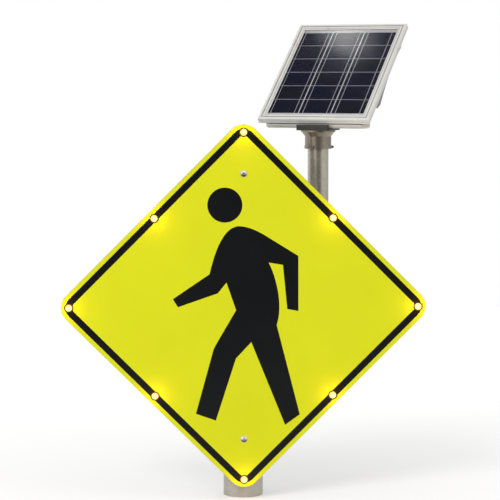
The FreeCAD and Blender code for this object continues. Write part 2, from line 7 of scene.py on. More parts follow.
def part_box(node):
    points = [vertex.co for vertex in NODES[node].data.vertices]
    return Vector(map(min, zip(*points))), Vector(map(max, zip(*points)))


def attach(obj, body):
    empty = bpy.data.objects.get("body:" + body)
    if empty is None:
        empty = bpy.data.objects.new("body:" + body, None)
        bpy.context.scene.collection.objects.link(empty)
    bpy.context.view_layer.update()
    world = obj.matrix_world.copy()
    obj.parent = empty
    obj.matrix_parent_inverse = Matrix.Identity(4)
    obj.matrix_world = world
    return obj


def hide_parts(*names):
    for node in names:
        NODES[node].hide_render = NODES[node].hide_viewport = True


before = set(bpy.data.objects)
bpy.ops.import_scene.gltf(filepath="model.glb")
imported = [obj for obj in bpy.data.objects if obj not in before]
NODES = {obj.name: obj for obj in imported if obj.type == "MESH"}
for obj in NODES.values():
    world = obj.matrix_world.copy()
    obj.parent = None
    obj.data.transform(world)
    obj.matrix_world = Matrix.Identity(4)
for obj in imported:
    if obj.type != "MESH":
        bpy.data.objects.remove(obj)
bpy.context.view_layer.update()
SIGN = "sign_on_post"
HEAD = "solar_head"
MM = 0.001

# Sizes of the plate and its print, in metres like all sizes here
PLATE_SIDE = 0.762
PLATE_CORNER_R = 0.0476
BORDER_MARGIN = 0.0127
BORDER_WIDTH = 0.01905
FILM_EDGE = 0.0006           # the sheeting stops this short of the plate's edge
FILM_THICK = 0.00025
INK_THICK = 0.00012
PRISM_PITCH = 0.0032
PRISM_SLANT = 30             # degrees that the lines between prisms lean from upright, both ways

# Lights: parts of the lens as shares of its own radius and height, and the small lamp in front of it
LIGHT_COUNT = 8
LENS_RIM_HEIGHT = 0.25
LENS_DOME_RADIUS = 0.93
LENS_DOME_FOOT = 0.32
LENS_DOME_HEIGHT = 0.68
LENS_DOME_STEPS = 8
LENS_HOT_R = 0.0035          # white inside this radius
LENS_AMBER_R = 0.0095        # amber outside this one
GLOW_WATTS = 0.05
GLOW_OUT = 0.020             # in front of the lens
GLOW_SIZE = 0.006
GLOW_COLOR = (1.0, 0.52, 0.14)

# Solar head: how it is turned, and how its cells are laid out
PANEL_TILT = 40.1
PANEL_AIM = 25.5
PANEL_WIDTH = 0.3416
PANEL_LENGTH = 0.430
RAIL_WIDTH = 0.023
RAIL_SLOT = 0.009            # how far glass and back sheet go into the rails
GLASS_T = 0.0032
GLASS_TOP = 0.0045           # the glass block's centre lies this far under the frame's front
FRAME_DEPTH = 0.017
CRADLE_T = 0.003
CELL_SPACE = 0.0012          # from the back sheet's back to the glass
BACK_SHEET_T = 0.0007
CELL_T = 0.0002
STRIP_T = 0.0001
BUS_T = 0.00015
CELL_COLUMNS = 3
CELL_ROWS = 6
COLUMN_PITCH = 0.1003
COLUMNS_SHIFT = -0.0042      # the middle column's centre lies this far off the panel's
CELLS_TOP = 0.181            # up the slope from the panel's centre
CELLS_FOOT = -0.1855
COLUMN_GAP = 0.0039
ROW_GAP = 0.0032
BUS_OUT = 0.037              # from a column's centre to each of its two conductors
BUS_WIDTH = 0.0021
FINGER_PITCH = 0.0024
VIOLET_ROWS = 2              # the top rows' cells are tinted lighter violet, a painted reflection of the glare on the glass there; below them every third cell is duller
CRADLE_SCREW_INSET = 0.0122  # from the panel's side
CRADLE_SCREW_PLACES = (-0.186, -0.075, 0.030, 0.122)     # up the slope, as above

# Clamps on the post and the mast
CLAMP_BOLT_R = 0.004
THREAD_PITCH = 0.00125
THREAD_DEPTH = 0.0006
THREAD_TURNS = 3
POST_BOLT_REACH = 0.0744
MAST_BOLT_REACH = 0.0474
STRUT_LEVELS = (0.180, -0.060)
RIB_COUNT = 26
RIB_FIRST = 72               # degrees round the strap from its right side, then a step down for each rib
RIB_STEP = 2.7
RIB_SLANT = 9
RIB_LOW = (-0.0002, -0.0006, -0.0050)
RIB_HIGH = (0.0004, 0.0006, 0.0050)

# The photograph's camera, worked out from the plate's corners and the panel
CAMERA_FROM_PLATE = Vector((-0.160, -5.500, 0.663))
CAMERA_YAW = -1.85
CAMERA_PITCH = -5.19
CAMERA_ROLL = 0.06
CAMERA_FOCAL_PX = 1948.0
CAMERA_REACH = 200.0
PHOTO_PX = 500.0
SENSOR_MM = 36.0

# Floor: its size, and the light added to what is seen of it near the post and far off
FLOOR_HALF = 3.2
FLOOR_BACK = 1.2             # the floor's middle lies this far behind the post
FLOOR_WHITE = (0.8, 0.8, 0.8, 1)
FLOOR_NEAR = 0.4
FLOOR_FAR = 2.6
FLOOR_NEAR_LIFT = 0.27
FLOOR_FAR_LIFT = 0.42

# Lamps: name, place, what it points at, diameter and watts
LAMPS = (("key", (-2.6, -4.2, 4.2), (0, 0, 0.6), 2.6, 122),
         ("side", (4.2, -1.6, 2.2), (0.1, 0, 0.7), 1.8, 14),
         ("behind", (1.4, 3.8, 3.0), (0.1, 0.1, 0.8), 1.8, 25))
FILL_COLOR = (1.0, 0.995, 0.985, 1)
FILL_LIGHT = 0.62

# Brightness of the room that polished things mirror. The walls go by bearing, in degrees from straight
# in front of the sign, and are then scaled by sine of the height.
ROOM_WALLS = ((-180, 0.85), (-60, 1.15), (-36, 1.0), (-16, 0.0), (18, 0.0), (40, 0.75), (66, 0.85),
              (90, 0.75), (130, 0.6), (180, 0.85))
ROOM_HEIGHTS = ((0.0, 1.0), (0.35, 1.0), (0.72, 0.2), (0.85, 0.08), (1.0, 0.08))

# A soft ceiling lamp that the top of the cover glass mirrors: the way to it, its radius as an angle
# and its brightness
CEILING_LAMP = Vector((-0.2427, 0.3164, 0.9171))
CEILING_LAMP_SPREAD = 0.017
CEILING_LAMP_LIGHT = 4.85

# Places that come from the frame
plate_low, plate_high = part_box("sign_panel")
PLATE_Z = (plate_low.z + plate_high.z) / 2
PLATE_FRONT = plate_low.y
glass_low, glass_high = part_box("panel_glass")
PANEL_LAY = (Matrix.Translation((glass_low + glass_high) / 2)
             @ Matrix.Rotation(math.radians(-PANEL_AIM), 4, "Z")
             @ Matrix.Rotation(math.radians(PANEL_TILT), 4, "X"))


# Colours and shader nodes

def srgb(r, g, b):
    """An 8-bit screen colour as the linear one that shaders take."""
    def linear(value):
        value /= 255.0
        return value / 12.92 if value <= 0.04045 else ((value + 0.055) / 1.055) ** 2.4
    return (linear(r), linear(g), linear(b), 1.0)


def feed(tree, socket, value):
    """Link a node's output to the socket, or set the socket's own value."""
    if isinstance(value, bpy.types.NodeSocket):
        tree.links.new(value, socket)
    else:
        socket.default_value = value


def math_node(tree, operation, first, second):
    node = tree.nodes.new("ShaderNodeMath")
    node.operation = operation
    feed(tree, node.inputs[0], first)
    feed(tree, node.inputs[1], second)
    return node.outputs["Value"]


def vector_node(tree, operation, first, second):
    node = tree.nodes.new("ShaderNodeVectorMath")
    node.operation = operation
    feed(tree, node.inputs[0], first)
    feed(tree, node.inputs["Scale" if operation == "SCALE" else 1], second)
    return node.outputs["Value" if operation == "DISTANCE" else "Vector"]


def map_range(tree, value, start, stop, low, high, curve="LINEAR"):
    """Turn start to stop into low to high."""
    node = tree.nodes.new("ShaderNodeMapRange")
    node.interpolation_type = curve
    for socket, number in (("From Min", start), ("From Max", stop), ("To Min", low), ("To Max", high)):
        node.inputs[socket].default_value = number
    tree.links.new(value, node.inputs["Value"])
    return node.outputs["Result"]


def grey_ramp(tree, value, stops):
    """A smooth run of greys from pairs of place and brightness."""
    node = tree.nodes.new("ShaderNodeValToRGB")
    tree.links.new(value, node.inputs["Fac"])
    ramp = node.color_ramp
    ramp.interpolation = "EASE"
    while len(ramp.elements) < len(stops):
        ramp.elements.new(0.5)
    for element, stop in zip(ramp.elements, stops):
        element.position = stop[0]
    for element, stop in zip(ramp.elements, stops):
        element.color = (stop[1], stop[1], stop[1], 1)
    return node.outputs["Color"]


def by_ray(tree, shader, choices, output):
    """Put out the shader, or for kinds of ray in choices another one; the last kind that fits holds."""
    path = tree.nodes.new("ShaderNodeLightPath")
    for kind, other in choices:
        mix = tree.nodes.new("ShaderNodeMixShader")
        tree.links.new(path.outputs[kind], mix.inputs["Fac"])
        tree.links.new(shader, mix.inputs[1])
        tree.links.new(other, mix.inputs[2])
        shader = mix.outputs["Shader"]
    tree.links.new(shader, tree.nodes[output].inputs["Surface"])


# Materials

class Recipe:
    """A Principled material and the few node chains that give it its detail."""

    def __init__(self, name, color, roughness, metallic=0.0, specular=0.5, coat=0.0, coat_roughness=0.03):
        self.material = bpy.data.materials.new(name)
        self.material.use_nodes = True
        self.tree = self.material.node_tree
        self.shader = self.tree.nodes["Principled BSDF"]
        self.set("Base Color", color)
        self.set("Roughness", roughness)
        self.set("Metallic", metallic)
        self.set("Specular IOR Level", specular)
        self.set("Coat Weight", coat)
        self.set("Coat Roughness", coat_roughness)
        self.color = color
        self.roughness = roughness
        coordinates = self.tree.nodes.new("ShaderNodeTexCoord")
        self.place = coordinates.outputs["Object"]
        self.facing = coordinates.outputs["Normal"]

    def set(self, socket, value):
        self.shader.inputs[socket].default_value = value

    def link(self, output, target):
        self.tree.links.new(output, target)

    def node(self, kind):
        return self.tree.nodes.new(kind)

    def stretched(self, scale, turn=(0, 0, 0)):
        mapping = self.node("ShaderNodeMapping")
        mapping.inputs["Scale"].default_value = scale
        mapping.inputs["Rotation"].default_value = turn
        self.link(self.place, mapping.inputs["Vector"])
        return mapping.outputs["Vector"]

    def noise(self, scale, detail=3.0, vector=None):
        node = self.node("ShaderNodeTexNoise")
        node.inputs["Scale"].default_value = scale
        node.inputs["Detail"].default_value = detail
        self.link(vector or self.place, node.inputs["Vector"])
        return node.outputs["Fac"]

    def flakes(self, scale, vector=None):
        """A random value for each crystal of a broken-up surface."""
        node = self.node("ShaderNodeTexVoronoi")
        node.inputs["Scale"].default_value = scale
        self.link(vector or self.place, node.inputs["Vector"])
        split = self.node("ShaderNodeSeparateColor")
        self.link(node.outputs["Color"], split.inputs["Color"])
        return split.outputs["Red"]

    def ruled(self, spacing, vector):
        """Fine parallel lines across the vector's X; at a scale of 1 a wave's lines lie 0.314 apart."""
        node = self.node("ShaderNodeTexWave")
        node.inputs["Scale"].default_value = 0.314 / spacing
        node.inputs["Distortion"].default_value = 0.0
        self.link(vector, node.inputs["Vector"])
        return node.outputs["Fac"]

    def fitted(self, value, low, high, start=0.3, stop=0.7):
        """Turn start to stop, which most noise lies between, into low to high."""
        return map_range(self.tree, value, start, stop, low, high)

    def shades(self, value, dark, light, base=None, start=0.3, stop=0.7):
        """Multiply the base colour by something between dark and light, as value goes up."""
        factor = self.fitted(value, dark, light, start, stop)
        return vector_node(self.tree, "SCALE", self.color[:3] if base is None else base, factor)

    def mixed(self, factor, first, second):
        node = self.node("ShaderNodeMix")
        node.data_type = "RGBA"
        self.link(factor, node.inputs["Factor"])
        color_a, color_b = node.inputs[6:8]
        feed(self.tree, color_a, first)
        feed(self.tree, color_b, second)
        return node.outputs[2]

    def colored(self, output):
        self.link(output, self.shader.inputs["Base Color"])

    def roughened(self, value, spread):
        least = max(0.02, self.roughness - spread)
        self.link(self.fitted(value, least, self.roughness + spread), self.shader.inputs["Roughness"])

    def bumped(self, value, height, strength):
        node = self.node("ShaderNodeBump")
        node.inputs["Strength"].default_value = strength
        node.inputs["Distance"].default_value = height
        self.link(value, node.inputs["Height"])
        self.link(node.outputs["Normal"], self.shader.inputs["Normal"])


def galvanised(name, color, spangle, roughness=0.42, metallic=0.8, spread=0.05):
    """Zinc on steel: crystal flakes, soft runs down the pipe and a dull bloom."""
    m = Recipe(name, color, roughness, metallic=metallic)
    flake = m.flakes(spangle)
    runs = m.noise(9.0, 4.0, m.stretched((1.0, 1.0, 0.12)))
    bloom = m.noise(26.0, 5.0)
    base = m.shades(flake, 0.95, 1.04, start=0.0, stop=1.0)
    base = m.shades(runs, 0.88, 1.07, base)
    m.colored(m.shades(bloom, 0.94, 1.04, base))
    m.roughened(flake, spread)
    m.bumped(bloom, 0.00008, 0.12)
    return m.material


def bright_steel():
    m = Recipe("bright_steel", srgb(198, 197, 194), 0.26, metallic=1.0)
    lines = m.noise(420.0, 2.0, m.stretched((1.0, 0.08, 1.0)))
    m.colored(m.shades(lines, 0.88, 1.06))
    m.roughened(lines, 0.07)
    m.bumped(lines, 0.00005, 0.3)
    return m.material


def washer_painted_yellow_light():
    """Zinc washer tinted pale yellow as painted light: the ring of yellow light round each face bolt."""
    # Painted light: the pale yellow stands for the yellow light round each bolt.
    m = Recipe("washer_painted_yellow_light", srgb(234, 230, 132), 0.45, metallic=0.1)
    m.colored(m.shades(m.noise(420.0, 2.0), 0.94, 1.04))
    return m.material


def dome_painted_shade():
    """Pale dome that is white on top and darkened to near black underneath: painted highlight and painted
    shade.
    """
    m = Recipe("dome_painted_shade", srgb(255, 255, 255), 0.2, metallic=0.4)
    split = m.node("ShaderNodeSeparateXYZ")
    m.link(m.facing, split.inputs["Vector"])
    # Painted shade: the colour is scaled by how far the surface faces up, near black where it faces down.
    m.colored(m.shades(split.outputs["Z"], 0.04, 1.0, start=-0.42, stop=0.45))
    return m.material


def cast_metal(name, color, roughness=0.42):
    m = Recipe(name, color, roughness, metallic=0.7)
    grain = m.noise(520.0, 4.0)
    patches = m.noise(34.0, 4.0)
    m.colored(m.shades(patches, 0.86, 1.08, m.shades(grain, 0.94, 1.04)))
    m.roughened(patches, 0.07)
    m.bumped(grain, 0.0002, 0.45)
    return m.material


def mill_sheet(name, color, roughness, metallic, pull=(1.0, 1.0, 0.06)):
    """Rolled sheet: faint lines one way, and smudges from handling."""
    m = Recipe(name, color, roughness, metallic=metallic)
    lines = m.noise(300.0, 2.0, m.stretched(pull))
    smudge = m.noise(14.0, 5.0)
    m.colored(m.shades(smudge, 0.92, 1.05, m.shades(lines, 0.95, 1.04)))
    m.roughened(smudge, 0.07)
    m.bumped(lines, 0.00002, 0.15)
    return m.material


def grooved_frame():
    """Pale anodised extrusion with painted shade in its grooves, made with an ambient occlusion node."""
    m = Recipe("pale_anodised", srgb(244, 242, 237), 0.34, metallic=0.12)
    hollow_shade = m.node("ShaderNodeAmbientOcclusion")
    hollow_shade.inputs["Distance"].default_value = 0.006
    hollow_shade.samples = 8
    smudge = m.noise(18.0, 5.0)
    lines = m.noise(500.0, 2.0, m.stretched((0.3, 1.0, 1.0)))
    base = m.shades(smudge, 0.95, 1.03, m.shades(lines, 0.96, 1.02))
    # Painted shade: ambient occlusion darkens the colour in the grooves and wherever the rails meet other
    # parts.
    m.colored(m.shades(hollow_shade.outputs["AO"], 0.30, 1.0, base, 0.35, 0.95))
    m.roughened(smudge, 0.08)
    m.bumped(lines, 0.00001, 0.10)
    return m.material


def powder_coat(name, color):
    m = Recipe(name, color, 0.48)
    peel = m.noise(650.0, 2.0)
    dust = m.noise(40.0, 5.0)
    m.colored(m.shades(dust, 0.88, 1.15))
    m.roughened(dust, 0.08)
    m.bumped(peel, 0.00012, 0.4)
    return m.material


def moulded(name, color, roughness=0.5):
    m = Recipe(name, color, roughness)
    grain = m.noise(900.0, 2.0)
    m.colored(m.shades(m.noise(60.0, 4.0), 0.85, 1.15))
    m.roughened(grain, 0.06)
    m.bumped(grain, 0.00006, 0.4)
    return m.material


def prism_grid(m):
    """The diamond cells pressed into reflective sheeting."""
    lines = []
    for slant in (PRISM_SLANT, -PRISM_SLANT):
        leaning = m.stretched((1.0, 1.0, 1.0), (0, math.radians(slant), 0))
        lines.append(m.ruled(PRISM_PITCH, leaning))
    return math_node(m.tree, "MAXIMUM", *lines)


def sheeting():
    m = Recipe("yellow_green_sheeting", srgb(232, 234, 31), 0.44, specular=0.15)
    cells = prism_grid(m)
    cloud = m.noise(5.0, 4.0)
    base = m.shades(cells, 0.975, 1.02, start=0.55, stop=1.0)
    m.colored(m.shades(cloud, 0.975, 1.02, base))
    m.roughened(cells, 0.06)
    m.bumped(cells, 0.00004, 0.25)
    return m.material


def black_ink():
    m = Recipe("black_ink", srgb(19, 20, 22), 0.38, specular=0.15)
    cells = prism_grid(m)
    m.colored(m.shades(m.noise(7.0, 4.0), 0.85, 1.2, m.shades(cells, 0.9, 1.1)))
    m.roughened(cells, 0.05)
    m.bumped(cells, 0.00004, 0.2)
    return m.material


def lit_lens():
    """Amber lens over a lamp that is on: hot in the middle, deeper at the rim, with fine prisms."""
    amber = srgb(255, 190, 90)
    m = Recipe("lit_amber_lens", amber, 0.22, coat=0.6)
    from_middle = vector_node(m.tree, "DISTANCE", m.place, (0, 0, 0))
    ramp = m.node("ShaderNodeValToRGB")
    ramp.color_ramp.elements[0].color = srgb(255, 246, 205)
    ramp.color_ramp.elements[1].color = amber
    m.link(m.fitted(from_middle, 0.0, 1.0, LENS_HOT_R, LENS_AMBER_R), ramp.inputs["Fac"])
    m.link(ramp.outputs["Color"], m.shader.inputs["Emission Color"])
    m.set("Emission Strength", 1.15)
    m.bumped(m.noise(700.0, 1.0), 0.0001, 0.4)
    return m.material


def silicon(name, color, flake_color):
    """Cell with crystal flakes and fine pale fingers along the panel's slope."""
    m = Recipe(name, color, 0.34, specular=0.1)
    flat = m.stretched((1.0, 1.0, 1.0), PANEL_LAY.to_3x3().inverted().to_euler())
    flake = m.flakes(120.0, flat)
    fingers = m.ruled(FINGER_PITCH, flat)
    base = m.mixed(m.fitted(flake, 0.0, 0.8, 0.1, 0.9), color, flake_color)
    m.colored(m.mixed(m.fitted(fingers, 0.0, 0.04, 0.86, 1.0), base, srgb(150, 152, 165)))
    m.roughened(flake, 0.06)
    return m.material


def ribbon(name, color):
    m = Recipe(name, color, 0.5, metallic=0.2)
    m.colored(m.shades(m.noise(300.0, 3.0), 0.9, 1.06))
    m.roughened(m.noise(200.0, 2.0), 0.06)
    return m.material


def white_sheet():
    m = Recipe("white_back_sheet", srgb(244, 242, 245), 0.5)
    m.colored(m.shades(m.noise(120.0, 3.0), 0.96, 1.03))
    m.bumped(m.noise(900.0, 2.0), 0.00001, 0.15)
    return m.material


def clear_glass():
    """Flat cover glass; rays from lamps pass straight through it."""
    m = Recipe("cover_glass", (0.97, 0.98, 0.98, 1.0), 0.03)
    m.set("Transmission Weight", 1.0)
    m.set("IOR", 1.45)
    m.link(m.fitted(m.noise(6.0, 4.0), 0.03, 0.07), m.shader.inputs["Roughness"])
    through = m.node("ShaderNodeBsdfTransparent").outputs["BSDF"]
    by_ray(m.tree, m.shader.outputs["BSDF"], [("Is Shadow Ray", through)], "Material Output")
    return m.material


def circuit_green():
    m = Recipe("circuit_board", srgb(24, 84, 44), 0.35, coat=0.5, coat_roughness=0.1)
    m.colored(m.shades(m.noise(240.0, 2.0), 0.7, 1.25))
    m.bumped(m.flakes(400.0), 0.0002, 0.3)
    return m.material


# Meshes

def new_object(name, data, place=(0, 0, 0)):
    """An object with this mesh, lamp, curve or camera, linked to the scene."""
    made = bpy.data.objects.new(name, data)
    made.location = place
    bpy.context.scene.collection.objects.link(made)
    return made


def put_mesh(name, bm, material, body, smooth=False, place=(0, 0, 0)):
    bmesh.ops.recalc_face_normals(bm, faces=bm.faces)
    mesh = bpy.data.meshes.new(name)
    bm.to_mesh(mesh)
    bm.free()
    mesh.materials.append(material)
    for face in mesh.polygons:
        face.use_smooth = smooth
    piece = new_object(name, mesh, place)
    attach(piece, body)
    return piece


def rounded_square(half, radius, steps=12):
    """Outline of a square with round corners, in the plate's own square frame."""
    points = []
    for quarter, (sx, sz) in enumerate(((1, 1), (-1, 1), (-1, -1), (1, -1))):
        for i in range(steps + 1):
            angle = math.radians(90 * quarter + 90 * i / steps)
            points.append((sx * (half - radius) + radius * math.cos(angle),
                           sz * (half - radius) + radius * math.sin(angle)))
    return points


def turned(points, degrees):
    c = math.cos(math.radians(degrees))
    s = math.sin(math.radians(degrees))
    return [(x * c - z * s, x * s + z * c) for x, z in points]


def circle(x, z, radius, count=64):
    angles = [2 * math.pi * i / count for i in range(count)]
    return [(x + radius * math.cos(angle), z + radius * math.sin(angle)) for angle in angles]


def bend(start, pull_a, pull_b, end, steps=14):
    """Points of a cubic curve after start, up to and with end."""
    points = []
    for i in range(1, steps + 1):
        t = i / steps
        weights = ((1 - t) ** 3, 3 * t * (1 - t) ** 2, 3 * t * t * (1 - t), t ** 3)
        pairs = list(zip(weights, (start, pull_a, pull_b, end)))
        points.append(tuple(sum(weight * point[axis] for weight, point in pairs) for axis in (0, 1)))
    return points


def flat_layer(name, loops, back_y, thick, material):
    """A thin layer on the plate's front from closed outlines; an outline inside another is a hole."""
    curve = bpy.data.curves.new(name, "CURVE")
    curve.dimensions = "2D"
    curve.fill_mode = "BOTH"
    curve.extrude = thick / 2
    for loop in loops:
        spline = curve.splines.new("POLY")
        spline.points.add(len(loop) - 1)
        for point, (x, z) in zip(spline.points, loop):
            point.co = (x, z, 0, 1)
        spline.use_cyclic_u = True
    source = new_object(name, curve)
    bpy.context.view_layer.update()
    bm = bmesh.new()
    bm.from_mesh(bpy.data.meshes.new_from_object(source))
    bpy.data.objects.remove(source)
    bmesh.ops.remove_doubles(bm, verts=bm.verts, dist=1e-6)
    for vertex in bm.verts:
        x, z, out = vertex.co
        vertex.co = (x, back_y - thick / 2 - out, PLATE_Z + z)
    put_mesh(name, bm, material, SIGN)


def lathe(profile, segments=40):
    """A closed solid from (radius, height) points turned about Z; the first and last lie on the axis."""
    bm = bmesh.new()
    rings = []
    for radius, height in profile:
        if radius < 1e-7:
            rings.append([bm.verts.new((0, 0, height))])
        else:
            rings.append([bm.verts.new((x, y, height)) for x, y in circle(0, 0, radius, segments)])
    for low, high in zip(rings, rings[1:]):
        for i in range(segments):
            j = (i + 1) % segments
            corners = [low[i % len(low)], low[j % len(low)], high[j % len(high)], high[i % len(high)]]
            unique = list(dict.fromkeys(corners))
            if len(unique) > 2:
                bm.faces.new(unique)
    return bm


def add_box(bm, low, high, lay):
    """Add a block between two corners to bm, and lay it in its place."""
    made = bmesh.ops.create_cube(bm, size=1.0)
    middle = (Vector(low) + Vector(high)) / 2
    size = Vector(high) - Vector(low)
    bmesh.ops.transform(bm, matrix=lay @ Matrix.Translation(middle) @ Matrix.Diagonal(size).to_4x4(),
                        verts=made["verts"])


def take_in(whole, part):
    """Move the mesh of part over to whole."""
    mesh = bpy.data.meshes.new("step")
    part.to_mesh(mesh)
    part.free()
    whole.from_mesh(mesh)
    bpy.data.meshes.remove(mesh)


def copies(make, lays):
    """One mesh from a copy of make() at each lay."""
    whole = bmesh.new()
    for lay in lays:
        one = make()
        bmesh.ops.transform(one, matrix=lay, verts=one.verts)
        take_in(whole, one)
    return whole


# Print on the plate

def plate_outline(margin):
    """The plate's outline less a margin all round, standing on its corner."""
    return turned(rounded_square(PLATE_SIDE / 2 - margin, PLATE_CORNER_R - margin), 45)


def print_plate():
    flat_layer("plate_sheeting", [plate_outline(FILM_EDGE)], PLATE_FRONT, FILM_THICK, YELLOW)
    border = [plate_outline(BORDER_MARGIN), plate_outline(BORDER_MARGIN + BORDER_WIDTH)]
    flat_layer("plate_border", border, PLATE_FRONT - FILM_THICK, INK_THICK, INK)


def walking_figure():
    """Head and body of the walking figure, in millimetres from the plate's centre."""
    neck = (-16.0, 231.0)
    shoulder = (53.1, 209.0)
    armpit = (70.8, 127.3)
    waist_back = (93.6, -51.7)
    elbow = (-97.4, 94.5)
    body = [neck]
    body += bend(neck, (12, 231), (34, 219), shoulder)
    body += [(155.0, 145.9), (155.3, -11.7), (123.6, -6.0), (111.3, 120.2), armpit]
    body += bend(armpit, (98, 72), (110, -2), waist_back)
    body += [(159.6, -309.2), (117.6, -339.5), (21.1, -100.2), (-22.6, -147.0), (-80.5, -325.8),
             (-137.3, -305.8), (-86.5, -120.8), (-80.8, -109.1), (-22.0, -8.6), (-49.4, 70.5),
             (-73.9, 40.0), (-187.3, 0.6), (-201.8, 23.7), elbow]
    body += bend(elbow, (-82, 160), (-58, 227), neck)[:-1]
    in_metres = [(x * MM, z * MM) for x, z in body]
    head = circle(-53.4 * MM, 291.0 * MM, 49.5 * MM)
    ink_back = PLATE_FRONT - FILM_THICK
    flat_layer("figure_body", [in_metres], ink_back, INK_THICK, INK)
    flat_layer("figure_head", [head], ink_back, INK_THICK, INK)


# Lights

def light_lenses():
    """A domed lens with a stepped rim on each light's bezel, and a small lamp in front of it."""
    for number in range(1, LIGHT_COUNT + 1):
        low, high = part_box("led_lens_%d" % number)
        radius = (high.x - low.x) / 2
        height = high.y - low.y
        dome_radius = radius * LENS_DOME_RADIUS
        profile = [(0, 0), (radius, 0), (radius, height * LENS_RIM_HEIGHT),
                   (dome_radius, height * LENS_DOME_FOOT)]
        for i in range(1, LENS_DOME_STEPS):
            angle = math.radians(90 * i / LENS_DOME_STEPS)
            profile.append((dome_radius * math.cos(angle),
                            height * (LENS_DOME_FOOT + LENS_DOME_HEIGHT * math.sin(angle))))
        profile.append((0, height))
        bm = lathe(profile)
        bmesh.ops.rotate(bm, verts=bm.verts, matrix=Matrix.Rotation(math.radians(90), 3, "X"))
        middle = (low + high) / 2
        foot = (middle.x, high.y, middle.z)
        piece = put_mesh("lens_dome_%d" % number, bm, LENS, SIGN, True, foot)
        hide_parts("led_lens_%d" % number)
        glow = bpy.data.lights.new("glow_%d" % number, "POINT")
        glow.color = GLOW_COLOR
        glow.energy = GLOW_WATTS
        glow.shadow_soft_size = GLOW_SIZE
        new_object("glow_%d" % number, glow, (middle.x, low.y - GLOW_OUT, middle.z))


# Solar cells

def solar_cells():
    """White back sheet, dark cells in columns, and the conductors that join them, under the cover glass."""
    sheet_back = -GLASS_T / 2 - CELL_SPACE
    sheet_front = sheet_back + BACK_SHEET_T
    cells_front = sheet_front + CELL_T
    half_width = PANEL_WIDTH / 2 - RAIL_WIDTH + RAIL_SLOT
    half_length = PANEL_LENGTH / 2 - RAIL_WIDTH + RAIL_SLOT

    def block(bm, left, right, foot, top, back, front):
        add_box(bm, (left, foot, back), (right, top, front), PANEL_LAY)

    bm = bmesh.new()
    block(bm, -half_width, half_width, -half_length, half_length, sheet_back, sheet_front)
    sheet = put_mesh("back_sheet", bm, WHITE_SHEET, HEAD)
    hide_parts("cell_sheet")
    row = (CELLS_TOP - CELLS_FOOT) / CELL_ROWS
    groups = [bmesh.new() for _ in CELL_TONES]
    blue, violet, dull = groups
    wires = bmesh.new()
    strips = bmesh.new()
    for i in range(CELL_COLUMNS):
        centre = COLUMNS_SHIFT + (i - (CELL_COLUMNS - 1) / 2) * COLUMN_PITCH
        # The outer columns run on under the rails, so no white shows beside them
        left = -half_width if i == 0 else centre - COLUMN_PITCH / 2 + COLUMN_GAP / 2
        right = half_width if i == CELL_COLUMNS - 1 else centre + COLUMN_PITCH / 2 - COLUMN_GAP / 2
        for j in range(CELL_ROWS):
            foot = CELLS_FOOT + j * row
            group = blue
            # Painted reflection: the top rows take the lighter violet tone of the glare on the cover glass.
            if j >= CELL_ROWS - VIOLET_ROWS:
                group = violet
            elif (2 * i + j) % 3 == 1:
                group = dull
            block(group, left, right, foot + ROW_GAP / 2, foot + row - ROW_GAP / 2, sheet_front, cells_front)
            if j:
                block(strips, left, right, foot - ROW_GAP / 2, foot + ROW_GAP / 2, sheet_front,
                      sheet_front + STRIP_T)
        for x in (centre - BUS_OUT, centre + BUS_OUT):
            block(wires, x - BUS_WIDTH / 2, x + BUS_WIDTH / 2, CELLS_FOOT, CELLS_TOP, cells_front,
                  cells_front + BUS_T)
    for number, (group, tone) in enumerate(zip(groups, CELL_TONES), 1):
        put_mesh("cell_group_%d" % number, group, tone, HEAD)
    put_mesh("cell_conductors", wires, RIBBON, HEAD)
    put_mesh("row_strips", strips, ROW_STRIP, HEAD)


# Small fasteners

def hex_screw():
    """Hexagonal head with a washer flange, standing on the XY plane."""
    whole = lathe([(0, 0), (0.0056, 0), (0.0056, 0.0005), (0.0050, 0.0009), (0, 0.0009)])
    take_in(whole, lathe([(0, 0.0009), (0.0040, 0.0009), (0.0040, 0.0034), (0.0034, 0.0040), (0, 0.0040)], 6))
    return whole


def threaded_end():
    """The last few turns of a bolt's thread, standing on the XY plane."""
    root = CLAMP_BOLT_R - THREAD_DEPTH
    top = (THREAD_TURNS + 0.5) * THREAD_PITCH
    profile = [(0, 0), (root, 0)]
    for turn in range(THREAD_TURNS):
        profile += [(CLAMP_BOLT_R, (turn + 0.5) * THREAD_PITCH), (root, (turn + 1) * THREAD_PITCH)]
    return lathe(profile + [(root - THREAD_DEPTH, top), (0, top)], 28)


def small_fasteners():
    under = GLASS_TOP - FRAME_DEPTH - CRADLE_T
    out = PANEL_WIDTH / 2 - CRADLE_SCREW_INSET
    down = Matrix.Rotation(math.radians(180), 4, "X")
    screws = [PANEL_LAY @ Matrix.Translation((side * out, up, under)) @ down
              for side in (-1, 1) for up in CRADLE_SCREW_PLACES]
    put_mesh("cradle_screws", copies(hex_screw, screws), BRIGHT_STEEL, HEAD)
    backwards = Matrix.Rotation(math.radians(-90), 4, "X")
    nuts_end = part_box("clamp_bolts")[1].y
    mast_x = sum(corner.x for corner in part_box("mast")) / 2
    ends = [Matrix.Translation((middle + side * reach, nuts_end, PLATE_Z + level)) @ backwards
            for middle, reach in ((0.0, POST_BOLT_REACH), (mast_x, MAST_BOLT_REACH))
            for side in (-1, 1) for level in STRUT_LEVELS]
    put_mesh("clamp_bolt_ends", copies(threaded_end, ends), BRIGHT_STEEL, SIGN)


